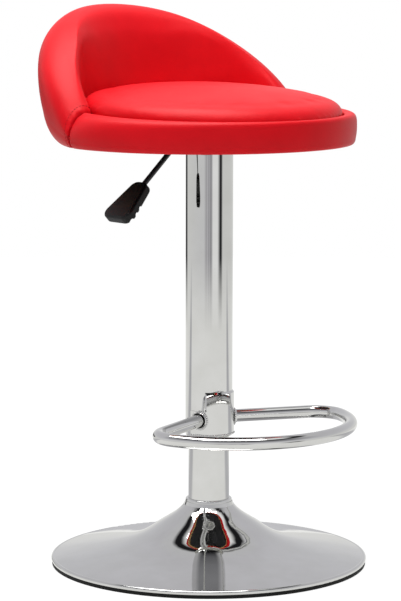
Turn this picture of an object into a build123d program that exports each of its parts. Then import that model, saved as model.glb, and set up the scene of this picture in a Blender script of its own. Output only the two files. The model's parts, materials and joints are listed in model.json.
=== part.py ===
from build123d import *
import os
from math import cos, hypot, radians, sin, sqrt, tan

os.makedirs("parts", exist_ok=True)

# The stool stands on z = 0 with its column on the z axis. Its front is -y, and the lever is on the -x side.

# Clearances
seat_gap = 0.3
press_gap = 0.05
running_gap = 0.06

# Foot
base_radius = 198.5
glide_height = 4.0
glide_width = 20.0
glide_inset = 1.0
floor_plate_thickness = 2.0
floor_plate_inset = 9.0
shell_thickness = 1.5
rim_height = 5.5
rim_width = 4.0
shell_height = 74.0
neck_radius = 31.5
neck_slope = 54.0
waist_radius = 61.5
waist_height = 50.8
foot_radius = 84.0
foot_height = 36.6
skirt_radius = 120.0
skirt_height = 24.6
skirt_slope = 11.5
collar_height = 8.0
collar_top_radius = 28.5
collar_foot_radius = 31.2
collar_rounding = 1.2
collar_groove_lift = 4.4
collar_groove_width = 0.9
collar_groove_depth = 1.2
hub_wall = 4.0
hub_length = 58.0
hub_flange_radius = 50.0
hub_flange_thickness = 6.0
weight_thickness = 5.0
weight_radius = 150.0
base_bolt_radius = 3.0
base_bolt_head_radius = 6.0
base_bolt_circle_radius = 40.0
base_bolt_count = 4

# Stand pipe and thrust bearing
pipe_radius = 25.6
pipe_wall = 2.0
pipe_length = 414.0
end_plate_lift = 12.0
end_plate_thickness = 6.0
race_thickness = 2.0
race_inner_radius = 6.5
race_outer_radius = 15.0
ball_radius = 2.0
ball_circle_radius = 10.5
ball_count = 10
cage_thickness = 1.6
cage_width = 6.0
bush_length = 80.0
bush_lip_thickness = 4.0

# Gas spring
rod_radius = 5.0
rod_length = 309.0
clip_thickness = 2.0
clip_radius = 8.5
clip_depth = 1.0
clip_tail = 3.0
rod_washer_thickness = 1.5
rod_washer_radius = 11.0
bump_height = 24.0
bump_radius = 13.0
bump_chamfer = 1.5
piston_height = 12.0
cylinder_radius = 14.0
cylinder_wall = 2.0
rod_guide_height = 20.0
taper_length = 48.0
taper_top_radius = 12.8
taper_above_hub = 3.2
valve_block_height = 12.0
valve_depth = 16.0
button_radius = 4.0
button_rise = 5.5
button_length = 15.5
button_rounding = 1.5

# Sleeve
sleeve_radius = 29.5
sleeve_wall = 1.5
sleeve_length = 354.0
sleeve_above_collar = 82.0
sleeve_bush_height = 30.0
sleeve_bush_lip = 1.2
sleeve_cap_thickness = 6.0

# Footrest
footrest_above_sleeve_foot = 21.0
footrest_tube_radius = 8.0
footrest_tube_wall = 1.5
footrest_reach = 194.0
footrest_arc_radius = 144.0
footrest_bend_radius = 34.0
footrest_arm_angle = 23.0
footrest_root_forward = 14.0
footrest_root_side = 26.6
ferrule_radius = 11.0
ferrule_length = 5.0
ferrule_taper = 22.0
bracket_height = 54.0
bracket_drop = 19.0
bracket_wall = 2.2
bracket_side_radius = 13.0
bracket_top_half_width = 22.5
bracket_bevel = 2.5

# Seat plate and lever seat
plate_thickness = 2.5
plate_depth = 27.0
plate_width = 150.0
pan_width = 86.0
plate_corner = 12.0
pan_corner = 8.0
plate_bolt_spacing = 120.0
plate_bolt_radius = 3.0
plate_bolt_head_radius = 5.8
plate_bolt_head_height = 4.0
taper_hub_radius = 18.0
taper_hub_drop = 30.0
taper_hub_rise = 6.0
lever_rod_radius = 3.25
lever_tip = 6.0
lever_button_gap = 0.5
pivot_arm = 26.0
pivot_radius = 2.5
pivot_boss_radius = 5.5
pivot_boss_half_width = 6.0
ear_thickness = 3.0
ear_width = 16.0
ear_gap = 2.0
pin_overhang = 1.0
lever_slot_width = 14.0
lever_bend_at = 43.0
lever_bend_radius = 10.0
lever_slope = 42.5
lever_length = 83.0
handle_slope = 43.0
handle_length = 60.0
handle_root_width = 25.0
handle_end_width = 54.0
handle_thickness = 12.0
handle_edge = 3.0
handle_corner = 11.0
rod_in_handle = 20.0
finger_groove_radius = 3.6
finger_groove_start = 33.0
finger_groove_spacing = 10.0
finger_groove_count = 3

# Seat board and back frame
board_radius = 166.0
board_back_shift = 8.0
board_thickness = 12.0
tee_nut_radius = 9.0
tee_nut_thickness = 1.2
tee_nut_barrel_wall = 1.2
tee_nut_barrel_length = 9.0
dust_cover_thickness = 1.0
dust_cover_margin = 6.0
frame_thickness = 8.0
frame_lean = 10.8
frame_hang = 8.0
frame_span_angle = 78.0
frame_rear_top = 98.0
frame_top_slope = 31.5
frame_screw_radius = 2.0
frame_screw_head_radius = 4.0
frame_screw_length = 27.0
frame_screw_setback = 0.8
frame_screw_angles = (-60, -30, 0, 30, 60)

# Upholstery
seat_back_shift = 15.0
skirt_drop = 17.0
pad_forward_shift = 6.0
pad_radius = 161.0
pad_foot_radius = 157.0
pad_side_gap = 0.8
pad_crease_above_board = 15.0
pad_crown = 28.0
pad_shoulder = 15.0
pad_shoulder_width = 26.0
pad_slope = 2.7
pad_depth = 30.0
seam_angle = 83.0
seam_gap_angle = 0.3
crest_sweep = 0.9
crest_draw = 15.0
crest_power = 4.0
shoulder_power = 0.7
face_fullness = 0.04
shelf_overlap = 4.0
under_ledge = 1.5
back_steps = 5
band_steps = 4

# Upright sections of the upholstery: reaches out from the pad's bed, heights above the top of the board
front_section = {
    "face": (0.4, 5.5),
    "crest": (3.7, 9.0),
    "bulge": (10.6, -1.0),
    "foot": (9.2, -22.5),
    "under": 4.7,
    "bed_rise": 2.5,
    "tuck": 0.0,
}
seam_section = {
    "face": (0.4, 6.5),
    "crest": (10.1, 14.0),
    "bulge": (33.6, -14.0),
    "foot": (32.6, -20.0),
    "under": 26.0,
    "bed_rise": 3.0,
    "tuck": 0.1,
}
rear_section = {
    "face": (4.0, 78.0),
    "crest": (46.2, 139.0),
    "bulge": (68.7, 96.0),
    "foot": (60.2, 30.0),
    "under": 23.2,
    "bed_rise": 24.0,
    "tuck": 0.45,
}

# Heights and radii that follow from the sizes above
floor_plate_top = glide_height + floor_plate_thickness
pipe_foot = floor_plate_top
pipe_top = pipe_foot + pipe_length
pipe_bore = pipe_radius - pipe_wall
end_plate_foot = pipe_foot + end_plate_lift
end_plate_top = end_plate_foot + end_plate_thickness
ball_centre = end_plate_top + race_thickness + running_gap + ball_radius
upper_race_foot = ball_centre + ball_radius + press_gap
bump_foot = upper_race_foot + race_thickness
cylinder_foot = bump_foot + bump_height + seat_gap
clip_top = end_plate_foot - seat_gap - rod_washer_thickness
rod_foot = clip_top - clip_thickness - clip_tail
rod_top = rod_foot + rod_length
collar_top = shell_height + collar_height
sleeve_foot = collar_top + sleeve_above_collar
sleeve_top = sleeve_foot + sleeve_length
footrest_height = sleeve_foot + footrest_above_sleeve_foot
pan_foot = sleeve_top + seat_gap
pan_floor = pan_foot + plate_thickness
board_foot = pan_foot + plate_depth
board_top = board_foot + board_thickness
flange_foot = board_foot - plate_thickness
taper_hub_foot = pan_foot - taper_hub_drop
taper_hub_top = pan_floor + taper_hub_rise
taper_top = taper_hub_top + taper_above_hub
taper_foot = taper_top - taper_length
button_top = taper_top + button_rise
lever_height = button_top + lever_button_gap + lever_rod_radius
skirt_foot = board_foot - skirt_drop
seat_centre = Vector(0, seat_back_shift, 0)
board_centre = Vector(0, board_back_shift, 0)
pad_bed = pad_radius + pad_side_gap


def add_ring(inner, outer, foot, top, mode=Mode.ADD):
    """A flat-ended ring about the column, or a disc where inner is zero."""
    with BuildSketch(Plane.XY.offset(foot)) as section:
        Circle(outer)
        if inner > 0:
            Circle(inner, mode=Mode.SUBTRACT)
    extrude(section.sketch, amount=top - foot, mode=mode)


def taper_radius(height):
    """The gas cylinder's radius at a height on its taper."""
    share = (height - taper_foot) / taper_length
    return cylinder_radius + share * (taper_top_radius - cylinder_radius)


def save(piece, name):
    piece.part.label = name
    export_step(piece.part, "parts/" + name + ".step")


# Foot

with BuildPart() as glide_ring:
    add_ring(base_radius - glide_width, base_radius - glide_inset, 0, glide_height)
save(glide_ring, "glide_ring")

bolt_head_height = base_bolt_head_radius - base_bolt_radius


def add_base_bolt(gap, mode=Mode.ADD):
    """Countersunk bolts, flush with the underside of the floor plate and of its hub flange's length."""
    reach = floor_plate_thickness + hub_flange_thickness
    with Locations(Location((0, 0, glide_height))):
        with PolarLocations(base_bolt_circle_radius, base_bolt_count):
            Cylinder(base_bolt_radius + gap, reach, align=(Align.CENTER, Align.CENTER, Align.MIN), mode=mode)
            Cone(
                base_bolt_head_radius + gap,
                base_bolt_radius + gap,
                bolt_head_height,
                align=(Align.CENTER, Align.CENTER, Align.MIN),
                mode=mode,
            )


with BuildPart() as floor_plate:
    add_ring(0, base_radius - floor_plate_inset, glide_height, floor_plate_top)
    add_base_bolt(press_gap, Mode.SUBTRACT)
save(floor_plate, "floor_plate")

with BuildPart() as base_hub:
    add_ring(0, hub_flange_radius, floor_plate_top, floor_plate_top + hub_flange_thickness)
    add_ring(0, pipe_radius + hub_wall, floor_plate_top, floor_plate_top + hub_length)
    add_ring(0, pipe_radius + press_gap, floor_plate_top, floor_plate_top + hub_length, Mode.SUBTRACT)
    add_base_bolt(press_gap, Mode.SUBTRACT)
save(base_hub, "base_hub")

with BuildPart() as base_bolts:
    add_base_bolt(0)
save(base_bolts, "base_bolts")

with BuildPart() as base_weight:
    add_ring(hub_flange_radius + seat_gap, weight_radius, floor_plate_top, floor_plate_top + weight_thickness)
save(base_weight, "base_weight")

rim_top = glide_height + rim_height
rim_corner = (base_radius, (glide_height + rim_top) / 2)
rim_inner = (base_radius - rim_width, rim_top)
neck = (neck_radius, shell_height)
skirt_to_neck = [
    rim_inner,
    (skirt_radius, skirt_height),
    (foot_radius, foot_height),
    (waist_radius, waist_height),
    neck,
]
lining = [(radius - shell_thickness, height - shell_thickness) for radius, height in skirt_to_neck]
slopes = [(-cos(radians(slope)), sin(radians(slope))) for slope in (skirt_slope, neck_slope)]
pipe_hole = pipe_radius + seat_gap

with BuildPart() as base_shell:
    with BuildSketch(Plane.XZ):
        with BuildLine():
            Line((base_radius - rim_width, glide_height), (base_radius - shell_thickness, glide_height))
            ThreePointArc((base_radius - shell_thickness, glide_height), rim_corner, rim_inner)
            Spline(skirt_to_neck, tangents=slopes)
            Line(neck, (pipe_hole, shell_height))
            Line((pipe_hole, shell_height), (pipe_hole, shell_height - shell_thickness))
            Line((pipe_hole, shell_height - shell_thickness), lining[-1])
            Spline(lining, tangents=slopes)
            Line(lining[0], (base_radius - rim_width, glide_height))
        make_face()
    revolve(axis=Axis.Z)
save(base_shell, "base_shell")

with BuildPart() as base_collar:
    with BuildSketch(Plane.XZ):
        with BuildLine():
            Polyline(
                (pipe_radius + press_gap, shell_height),
                (collar_foot_radius, shell_height),
                (collar_top_radius, collar_top),
                (pipe_radius + press_gap, collar_top),
                close=True,
            )
        make_face()
    revolve(axis=Axis.Z)
    fillet(base_collar.edges().group_by(Axis.Z)[-1].sort_by(SortBy.LENGTH)[-1], collar_rounding)
    groove_foot = shell_height + collar_groove_lift
    groove_share = collar_groove_lift / collar_height
    groove_mouth = collar_foot_radius + groove_share * (collar_top_radius - collar_foot_radius)
    groove_top = groove_foot + collar_groove_width
    add_ring(groove_mouth - collar_groove_depth, collar_foot_radius, groove_foot, groove_top, Mode.SUBTRACT)
save(base_collar, "base_collar")

# Stand pipe and thrust bearing

with BuildPart() as stand_pipe:
    add_ring(pipe_bore, pipe_radius, pipe_foot, pipe_top)
save(stand_pipe, "stand_pipe")

with BuildPart() as pipe_end_plate:
    add_ring(rod_radius + running_gap, pipe_bore - press_gap, end_plate_foot, end_plate_top)
save(pipe_end_plate, "pipe_end_plate")

with BuildPart() as lower_race:
    add_ring(race_inner_radius, race_outer_radius, end_plate_top, end_plate_top + race_thickness)
save(lower_race, "lower_race")

with BuildPart() as upper_race:
    add_ring(rod_radius + press_gap, race_outer_radius, upper_race_foot, upper_race_foot + race_thickness)
save(upper_race, "upper_race")

with BuildPart() as bearing_balls:
    with Locations(Location((0, 0, ball_centre))):
        with PolarLocations(ball_circle_radius, ball_count):
            Sphere(ball_radius)
save(bearing_balls, "bearing_balls")

with BuildPart() as ball_cage:
    cage_foot = ball_centre - cage_thickness / 2
    cage_inner = ball_circle_radius - cage_width / 2
    add_ring(cage_inner, cage_inner + cage_width, cage_foot, cage_foot + cage_thickness)
    with Locations(Location((0, 0, ball_centre))):
        with PolarLocations(ball_circle_radius, ball_count):
            Cylinder(ball_radius + running_gap, cage_thickness, mode=Mode.SUBTRACT)
save(ball_cage, "ball_cage")

with BuildPart() as guide_bush:
    add_ring(0, pipe_bore - press_gap, pipe_top - bush_length, pipe_top)
    add_ring(0, pipe_radius, pipe_top, pipe_top + bush_lip_thickness)
    add_ring(
        0,
        cylinder_radius + running_gap,
        pipe_top - bush_length,
        pipe_top + bush_lip_thickness,
        Mode.SUBTRACT,
    )
save(guide_bush, "guide_bush")

# Gas spring

with BuildPart() as piston_rod:
    add_ring(0, rod_radius, rod_foot, rod_top)
    clip_foot = clip_top - clip_thickness
    add_ring(rod_radius - clip_depth, rod_radius + seat_gap, clip_foot, clip_top, Mode.SUBTRACT)
save(piston_rod, "piston_rod")

with BuildPart() as rod_clip:
    add_ring(
        rod_radius - clip_depth + press_gap,
        clip_radius,
        clip_top - clip_thickness + press_gap,
        clip_top - press_gap,
    )
    with BuildSketch(Plane.XY.offset(clip_top - clip_thickness)):
        with Locations((clip_radius, 0)):
            Rectangle(2 * clip_radius, rod_radius)
    extrude(amount=clip_thickness, mode=Mode.SUBTRACT)
save(rod_clip, "rod_clip")

with BuildPart() as rod_washer:
    add_ring(rod_radius + press_gap, rod_washer_radius, clip_top, clip_top + rod_washer_thickness)
save(rod_washer, "rod_washer")

with BuildPart() as bump_stop:
    add_ring(rod_radius + press_gap, bump_radius, bump_foot, bump_foot + bump_height)
    chamfer(bump_stop.edges().filter_by(GeomType.CIRCLE).group_by(SortBy.RADIUS)[-1], bump_chamfer)
save(bump_stop, "bump_stop")

with BuildPart() as piston_head:
    add_ring(
        rod_radius + press_gap,
        cylinder_radius - cylinder_wall - running_gap,
        rod_top - piston_height,
        rod_top,
    )
save(piston_head, "piston_head")

cylinder_bore = cylinder_radius - cylinder_wall

with BuildPart() as gas_cylinder:
    add_ring(0, cylinder_radius, cylinder_foot, taper_foot)
    with BuildSketch(Plane.XZ):
        Polygon(
            (0, taper_foot),
            (cylinder_radius, taper_foot),
            (taper_top_radius, taper_top),
            (0, taper_top),
            align=None,
        )
    revolve(axis=Axis.Z)
    add_ring(0, cylinder_bore, cylinder_foot, taper_foot - valve_block_height, Mode.SUBTRACT)
    add_ring(0, button_radius + running_gap, taper_top - valve_depth, taper_top, Mode.SUBTRACT)
save(gas_cylinder, "gas_cylinder")

with BuildPart() as rod_guide:
    add_ring(
        rod_radius + running_gap,
        cylinder_bore - press_gap,
        cylinder_foot,
        cylinder_foot + rod_guide_height,
    )
save(rod_guide, "rod_guide")

with BuildPart() as valve_button:
    add_ring(0, button_radius, button_top - button_length, button_top)
    fillet(valve_button.edges().group_by(Axis.Z)[-1], button_rounding)
save(valve_button, "valve_button")

# Sleeve

sleeve_bore = sleeve_radius - sleeve_wall

with BuildPart() as sleeve_tube:
    add_ring(sleeve_bore, sleeve_radius, sleeve_foot, sleeve_top)
save(sleeve_tube, "sleeve_tube")

with BuildPart() as sleeve_bush:
    bush_bore = pipe_radius + running_gap
    add_ring(bush_bore, sleeve_bore - press_gap, sleeve_foot, sleeve_foot + sleeve_bush_height)
    add_ring(bush_bore, sleeve_radius - sleeve_wall / 2, sleeve_foot - sleeve_bush_lip, sleeve_foot)
save(sleeve_bush, "sleeve_bush")

sleeve_cap_top = taper_hub_foot - seat_gap

with BuildPart() as sleeve_cap:
    add_ring(
        cylinder_radius + press_gap,
        sleeve_bore - press_gap,
        sleeve_cap_top - sleeve_cap_thickness,
        sleeve_cap_top,
    )
save(sleeve_cap, "sleeve_cap")

# Footrest, drawn in plan on a plane at its own height

footrest_plane = Plane.XY.offset(footrest_height)
arm_along = Vector(cos(radians(footrest_arm_angle)), -sin(radians(footrest_arm_angle)))
arm_inward = Vector(-sin(radians(footrest_arm_angle)), -cos(radians(footrest_arm_angle)))
arm_root = Vector(footrest_root_side, -footrest_root_forward)
arc_centre = Vector(0, footrest_arc_radius - footrest_reach)
bend_offset = arm_root + arm_inward * footrest_bend_radius - arc_centre
bend_swing = footrest_arc_radius - footrest_bend_radius
along_part = bend_offset.dot(arm_along)
arm_straight = sqrt(along_part**2 - bend_offset.dot(bend_offset) + bend_swing**2) - along_part
arm_end = arm_root + arm_along * arm_straight
bend_centre = arm_end + arm_inward * footrest_bend_radius
bend_out = (bend_centre - arc_centre).normalized()
arc_start = arc_centre + bend_out * footrest_arc_radius
bend_middle = bend_centre + (bend_out - arm_inward).normalized() * footrest_bend_radius
arc_front = Vector(0, -footrest_reach)


def mirrored(point):
    return Vector(-point.X, point.Y)


with BuildPart() as footrest_loop:
    with BuildLine(footrest_plane):
        Line(arm_root, arm_end)
        ThreePointArc(arm_end, bend_middle, arc_start)
        ThreePointArc(arc_start, arc_front, mirrored(arc_start))
        ThreePointArc(mirrored(arc_start), mirrored(bend_middle), mirrored(arm_end))
        Line(mirrored(arm_end), mirrored(arm_root))
    arm_face = Plane(
        origin=footrest_plane.from_local_coords(arm_root),
        x_dir=(0, 0, 1),
        z_dir=arm_along,
    )
    with BuildSketch(arm_face):
        Circle(footrest_tube_radius)
        Circle(footrest_tube_radius - footrest_tube_wall, mode=Mode.SUBTRACT)
    sweep()
save(footrest_loop, "footrest_loop")

with BuildPart() as footrest_ferrules:
    for root, along in ((arm_root, arm_along), (mirrored(arm_root), mirrored(arm_along))):
        ferrule_face = Plane(origin=footrest_plane.from_local_coords(root), z_dir=along)
        with BuildSketch(ferrule_face):
            Circle(ferrule_radius)
            Circle(footrest_tube_radius + press_gap, mode=Mode.SUBTRACT)
        extrude(amount=ferrule_length, taper=ferrule_taper)
save(footrest_ferrules, "footrest_ferrules")

bracket_foot = footrest_height - bracket_drop
bracket_top = bracket_foot + bracket_height
side_back = arm_root - arm_inward * bracket_side_radius
bracket_radius = sleeve_radius + bracket_wall
front_corner = arm_root + arm_inward * ((bracket_radius + arm_root.Y) / cos(radians(footrest_arm_angle)))

with BuildPart() as footrest_bracket:
    with BuildSketch(Plane.XY.offset(bracket_foot)):
        Polygon(
            (side_back.X, side_back.Y),
            (front_corner.X, front_corner.Y),
            (-front_corner.X, front_corner.Y),
            (-side_back.X, side_back.Y),
            align=None,
        )
    extrude(amount=bracket_height)
    add_ring(0, bracket_radius, bracket_foot, bracket_top, Mode.INTERSECT)
    add_ring(0, sleeve_radius + press_gap, bracket_foot, bracket_top, Mode.SUBTRACT)
    with BuildSketch(Plane.XZ.offset(2 * bracket_radius), mode=Mode.PRIVATE) as shoulder:
        shoulder_foot = footrest_height + ferrule_radius
        Polygon(
            (bracket_top_half_width, shoulder_foot),
            (2 * bracket_radius, shoulder_foot),
            (2 * bracket_radius, bracket_top),
            (bracket_top_half_width, bracket_top),
            align=None,
        )
        mirror(about=Plane.YZ)
    extrude(shoulder.sketch, amount=-4 * bracket_radius, mode=Mode.SUBTRACT)
    with BuildSketch(Plane.XZ, mode=Mode.PRIVATE) as top_bevel:
        Polygon(
            (bracket_radius, bracket_top - bracket_bevel),
            (bracket_radius + bracket_bevel, bracket_top - bracket_bevel),
            (bracket_radius + bracket_bevel, bracket_top + bracket_bevel),
            (sleeve_radius, bracket_top + bracket_bevel),
            (sleeve_radius, bracket_top),
            align=None,
        )
    revolve(top_bevel.sketch, axis=Axis.Z, mode=Mode.SUBTRACT)
save(footrest_bracket, "footrest_bracket")

# Seat plate and lever seat

plate_bolt_places = GridLocations(plate_bolt_spacing, plate_bolt_spacing, 2, 2)

with BuildPart() as seat_plate:
    with BuildSketch(Plane.XY.offset(flange_foot)):
        RectangleRounded(plate_width, plate_width, plate_corner)
        with plate_bolt_places:
            Circle(plate_bolt_radius + press_gap, mode=Mode.SUBTRACT)
    extrude(amount=plate_thickness)
    with BuildSketch(Plane.XY.offset(pan_foot)):
        RectangleRounded(pan_width, pan_width, pan_corner)
    extrude(amount=plate_depth)
    with BuildSketch(Plane.XY.offset(pan_floor)):
        pan_inside = pan_width - 2 * plate_thickness
        RectangleRounded(pan_inside, pan_inside, pan_corner - plate_thickness)
    extrude(amount=plate_depth, mode=Mode.SUBTRACT)
    add_ring(0, taper_hub_radius + press_gap, pan_foot, pan_floor, Mode.SUBTRACT)
    slot_back = pan_width / 2 + 2 * lever_bend_radius
    slot_front = pan_width / 2 - 2 * plate_thickness
    with BuildSketch(Plane.XY.offset(pan_floor + plate_thickness)):
        with Locations((-(slot_back + slot_front) / 2, 0)):
            Rectangle(slot_back - slot_front, lever_slot_width)
    extrude(amount=plate_depth, mode=Mode.SUBTRACT)
save(seat_plate, "seat_plate")

with BuildPart() as taper_hub:
    add_ring(0, taper_hub_radius, taper_hub_foot, taper_hub_top)
    with BuildSketch(Plane.XZ):
        Polygon(
            (0, taper_hub_foot),
            (taper_radius(taper_hub_foot) + press_gap, taper_hub_foot),
            (taper_radius(taper_hub_top) + press_gap, taper_hub_top),
            (0, taper_hub_top),
            align=None,
        )
    revolve(axis=Axis.Z, mode=Mode.SUBTRACT)
save(taper_hub, "taper_hub")

pivot_plane = Plane(origin=(-pivot_arm, 0, lever_height), x_dir=(1, 0, 0), z_dir=(0, 1, 0))
ear_inner = pivot_boss_half_width + ear_gap
pin_half_length = ear_inner + ear_thickness + pin_overhang

with BuildPart() as lever_ears:
    for ear_start in (ear_inner, -ear_inner - ear_thickness):
        with BuildSketch(pivot_plane.offset(ear_start)):
            with BuildLine():
                foot_y = lever_height - pan_floor
                Line((-ear_width / 2, foot_y), (ear_width / 2, foot_y))
                Line((ear_width / 2, foot_y), (pivot_boss_radius, 0))
                ThreePointArc((pivot_boss_radius, 0), (0, -pivot_boss_radius), (-pivot_boss_radius, 0))
                Line((-pivot_boss_radius, 0), (-ear_width / 2, foot_y))
            make_face()
            Circle(pivot_radius + press_gap, mode=Mode.SUBTRACT)
        extrude(amount=ear_thickness)
save(lever_ears, "lever_ears")

with BuildPart() as lever_pin:
    with BuildSketch(pivot_plane.offset(-pin_half_length)):
        Circle(pivot_radius)
    extrude(amount=2 * pin_half_length)
save(lever_pin, "lever_pin")

bend_point = Vector(-lever_bend_at, 0, lever_height)
lever_down = Vector(-cos(radians(lever_slope)), 0, -sin(radians(lever_slope)))
lever_end = bend_point + lever_down * (lever_length + rod_in_handle)

with BuildPart() as lever_rod:
    with BuildLine():
        FilletPolyline((lever_tip, 0, lever_height), bend_point, lever_end, radius=lever_bend_radius)
    with BuildSketch(Plane(origin=(lever_tip, 0, lever_height), z_dir=(-1, 0, 0))):
        Circle(lever_rod_radius)
    sweep()
    with BuildSketch(pivot_plane.offset(-pivot_boss_half_width)):
        Circle(pivot_boss_radius)
    extrude(amount=2 * pivot_boss_half_width)
    with BuildSketch(pivot_plane.offset(-pivot_boss_half_width)):
        Circle(pivot_radius + running_gap)
    extrude(amount=2 * pivot_boss_half_width, mode=Mode.SUBTRACT)
save(lever_rod, "lever_rod")

handle_root = bend_point + lever_down * lever_length
handle_along = Vector(-cos(radians(handle_slope)), 0, -sin(radians(handle_slope)))
handle_plane = Plane(origin=handle_root, x_dir=handle_along, z_dir=handle_along.cross(Vector(0, 1, 0)))

with BuildPart() as lever_handle:
    with BuildSketch(handle_plane.offset(-handle_thickness / 2)):
        Polygon(
            (0, -handle_root_width / 2),
            (handle_length, -handle_end_width / 2),
            (handle_length, handle_end_width / 2),
            (0, handle_root_width / 2),
            align=None,
        )
        fillet(vertices(), handle_corner)
    extrude(amount=handle_thickness)
    handle_upward = Axis(handle_plane.origin, handle_plane.z_dir)
    fillet(lever_handle.faces().sort_by(handle_upward)[-1].edges(), handle_edge)
    fillet(lever_handle.faces().sort_by(handle_upward)[0].edges(), handle_edge)
    underside = handle_plane.offset(handle_thickness / 2)
    for groove in range(finger_groove_count):
        groove_along = finger_groove_start + groove * finger_groove_spacing
        groove_start = underside.from_local_coords((groove_along, -handle_end_width, 0))
        with BuildSketch(Plane(origin=groove_start, z_dir=underside.y_dir)):
            Circle(finger_groove_radius)
        extrude(amount=2 * handle_end_width, mode=Mode.SUBTRACT)
    rod_axis_plane = Plane(origin=lever_end, z_dir=lever_down * -1)
    with BuildSketch(rod_axis_plane):
        Circle(lever_rod_radius + press_gap)
    extrude(amount=2 * rod_in_handle, mode=Mode.SUBTRACT)
save(lever_handle, "lever_handle")

with BuildPart() as plate_bolts:
    with BuildSketch(Plane.XY.offset(flange_foot - plate_bolt_head_height)):
        with plate_bolt_places:
            RegularPolygon(plate_bolt_head_radius, 6)
    extrude(amount=plate_bolt_head_height)
    with BuildSketch(Plane.XY.offset(flange_foot)):
        with plate_bolt_places:
            Circle(plate_bolt_radius)
    extrude(amount=plate_thickness + board_thickness - tee_nut_thickness)
save(plate_bolts, "plate_bolts")

tee_nut_barrel_radius = plate_bolt_radius + press_gap + tee_nut_barrel_wall
tee_nut_top = board_top - press_gap

with BuildPart() as tee_nuts:
    with BuildSketch(Plane.XY.offset(tee_nut_top - tee_nut_thickness)):
        with plate_bolt_places:
            Circle(tee_nut_radius)
    extrude(amount=tee_nut_thickness)
    with BuildSketch(Plane.XY.offset(tee_nut_top - tee_nut_barrel_length)):
        with plate_bolt_places:
            Circle(tee_nut_barrel_radius)
    extrude(amount=tee_nut_barrel_length)
    with BuildSketch(Plane.XY.offset(board_foot)):
        with plate_bolt_places:
            Circle(plate_bolt_radius + press_gap)
    extrude(amount=board_thickness, mode=Mode.SUBTRACT)
save(tee_nuts, "tee_nuts")

# Seat board and back frame

frame_inner = board_radius + press_gap
frame_foot = board_foot - frame_hang
screw_height = board_foot + board_thickness / 2
screw_end = frame_inner + frame_thickness - frame_screw_setback


def radial_plane(centre, angle):
    """A plane square to a line out of the seat, angle degrees from the rear, with its origin at centre."""
    return Plane(origin=centre, z_dir=(sin(radians(angle)), cos(radians(angle)), 0))


def add_frame_screws(gap, mode=Mode.ADD):
    """Countersunk screws through the back frame into the edge of the board."""
    head = frame_screw_head_radius - frame_screw_radius
    for angle in frame_screw_angles:
        aim = radial_plane(board_centre + Vector(0, 0, screw_height), angle)
        with BuildSketch(aim.offset(screw_end - frame_screw_length)) as shank:
            Circle(frame_screw_radius + gap)
        extrude(shank.sketch, amount=frame_screw_length, mode=mode)
        with Locations(aim.offset(screw_end)):
            Cone(
                frame_screw_radius + gap,
                frame_screw_head_radius + gap,
                head,
                align=(Align.CENTER, Align.CENTER, Align.MAX),
                mode=mode,
            )


def bent_panel(gap):
    """The half-round panel of the back, upright at the board and leaning above it, grown by gap all round."""
    inner = frame_inner - gap
    outer = frame_inner + frame_thickness + gap
    top = board_top + frame_rear_top + gap
    lean = (top - board_top) * tan(radians(frame_lean))
    start = radial_plane(board_centre, -frame_span_angle)
    with BuildPart() as panel:
        end_plane = Plane(origin=board_centre, x_dir=start.z_dir, z_dir=start.z_dir.cross(Vector(0, 0, 1)))
        with BuildSketch(end_plane):
            Polygon(
                (inner, frame_foot),
                (outer, frame_foot),
                (outer, board_top),
                (outer + lean, top),
                (inner + lean, top),
                (inner, board_top),
                align=None,
            )
        revolve(axis=Axis(board_centre, (0, 0, -1)), revolution_arc=2 * frame_span_angle)
        rear_top = board_centre + Vector(0, outer + lean, top)
        slope = radians(frame_top_slope)
        split(bisect_by=Plane(origin=rear_top, z_dir=(0, -sin(slope), cos(slope))), keep=Keep.BOTTOM)
    return panel.part


with BuildPart() as seat_board:
    with BuildSketch(Plane.XY.offset(board_foot)):
        with Locations((0, board_back_shift)):
            Circle(board_radius)
        with plate_bolt_places:
            Circle(tee_nut_barrel_radius + press_gap, mode=Mode.SUBTRACT)
    extrude(amount=board_thickness)
    with BuildSketch(Plane.XY.offset(tee_nut_top - tee_nut_thickness - press_gap)):
        with plate_bolt_places:
            Circle(tee_nut_radius + press_gap)
    extrude(amount=tee_nut_thickness + 2 * press_gap, mode=Mode.SUBTRACT)
    add_frame_screws(press_gap, Mode.SUBTRACT)
save(seat_board, "seat_board")

with BuildPart() as dust_cover:
    with BuildSketch(Plane.XY.offset(board_foot - dust_cover_thickness)):
        with Locations((0, board_back_shift)):
            Circle(board_radius - dust_cover_margin)
        plate_pocket = plate_width + 2 * seat_gap
        RectangleRounded(plate_pocket, plate_pocket, plate_corner, mode=Mode.SUBTRACT)
    extrude(amount=dust_cover_thickness)
save(dust_cover, "dust_cover")

with BuildPart() as back_frame:
    add(bent_panel(0))
    add_frame_screws(press_gap, Mode.SUBTRACT)
save(back_frame, "back_frame")

with BuildPart() as frame_screws:
    add_frame_screws(0)
save(frame_screws, "frame_screws")

# Upholstery


def mix(first, second, share):
    if isinstance(first, tuple):
        return tuple(a + (b - a) * share for a, b in zip(first, second))
    return first + (second - first) * share


def reach_of_circle(radius, shift, angle):
    """How far a circle shifted ahead of the seat's centre reaches from it, angle degrees from the rear."""
    return sqrt(radius**2 - (shift * sin(radians(angle))) ** 2) - shift * cos(radians(angle))


def bed_reach(angle):
    return reach_of_circle(pad_bed, seat_back_shift + pad_forward_shift, angle)


def full_arc(start, end, fullness):
    """The middle of an arc that swells to the right of the way from start to end."""
    across = ((end[1] - start[1]) * fullness, (start[0] - end[0]) * fullness)
    return ((start[0] + end[0]) / 2 + across[0], (start[1] + end[1]) / 2 + across[1])


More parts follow.
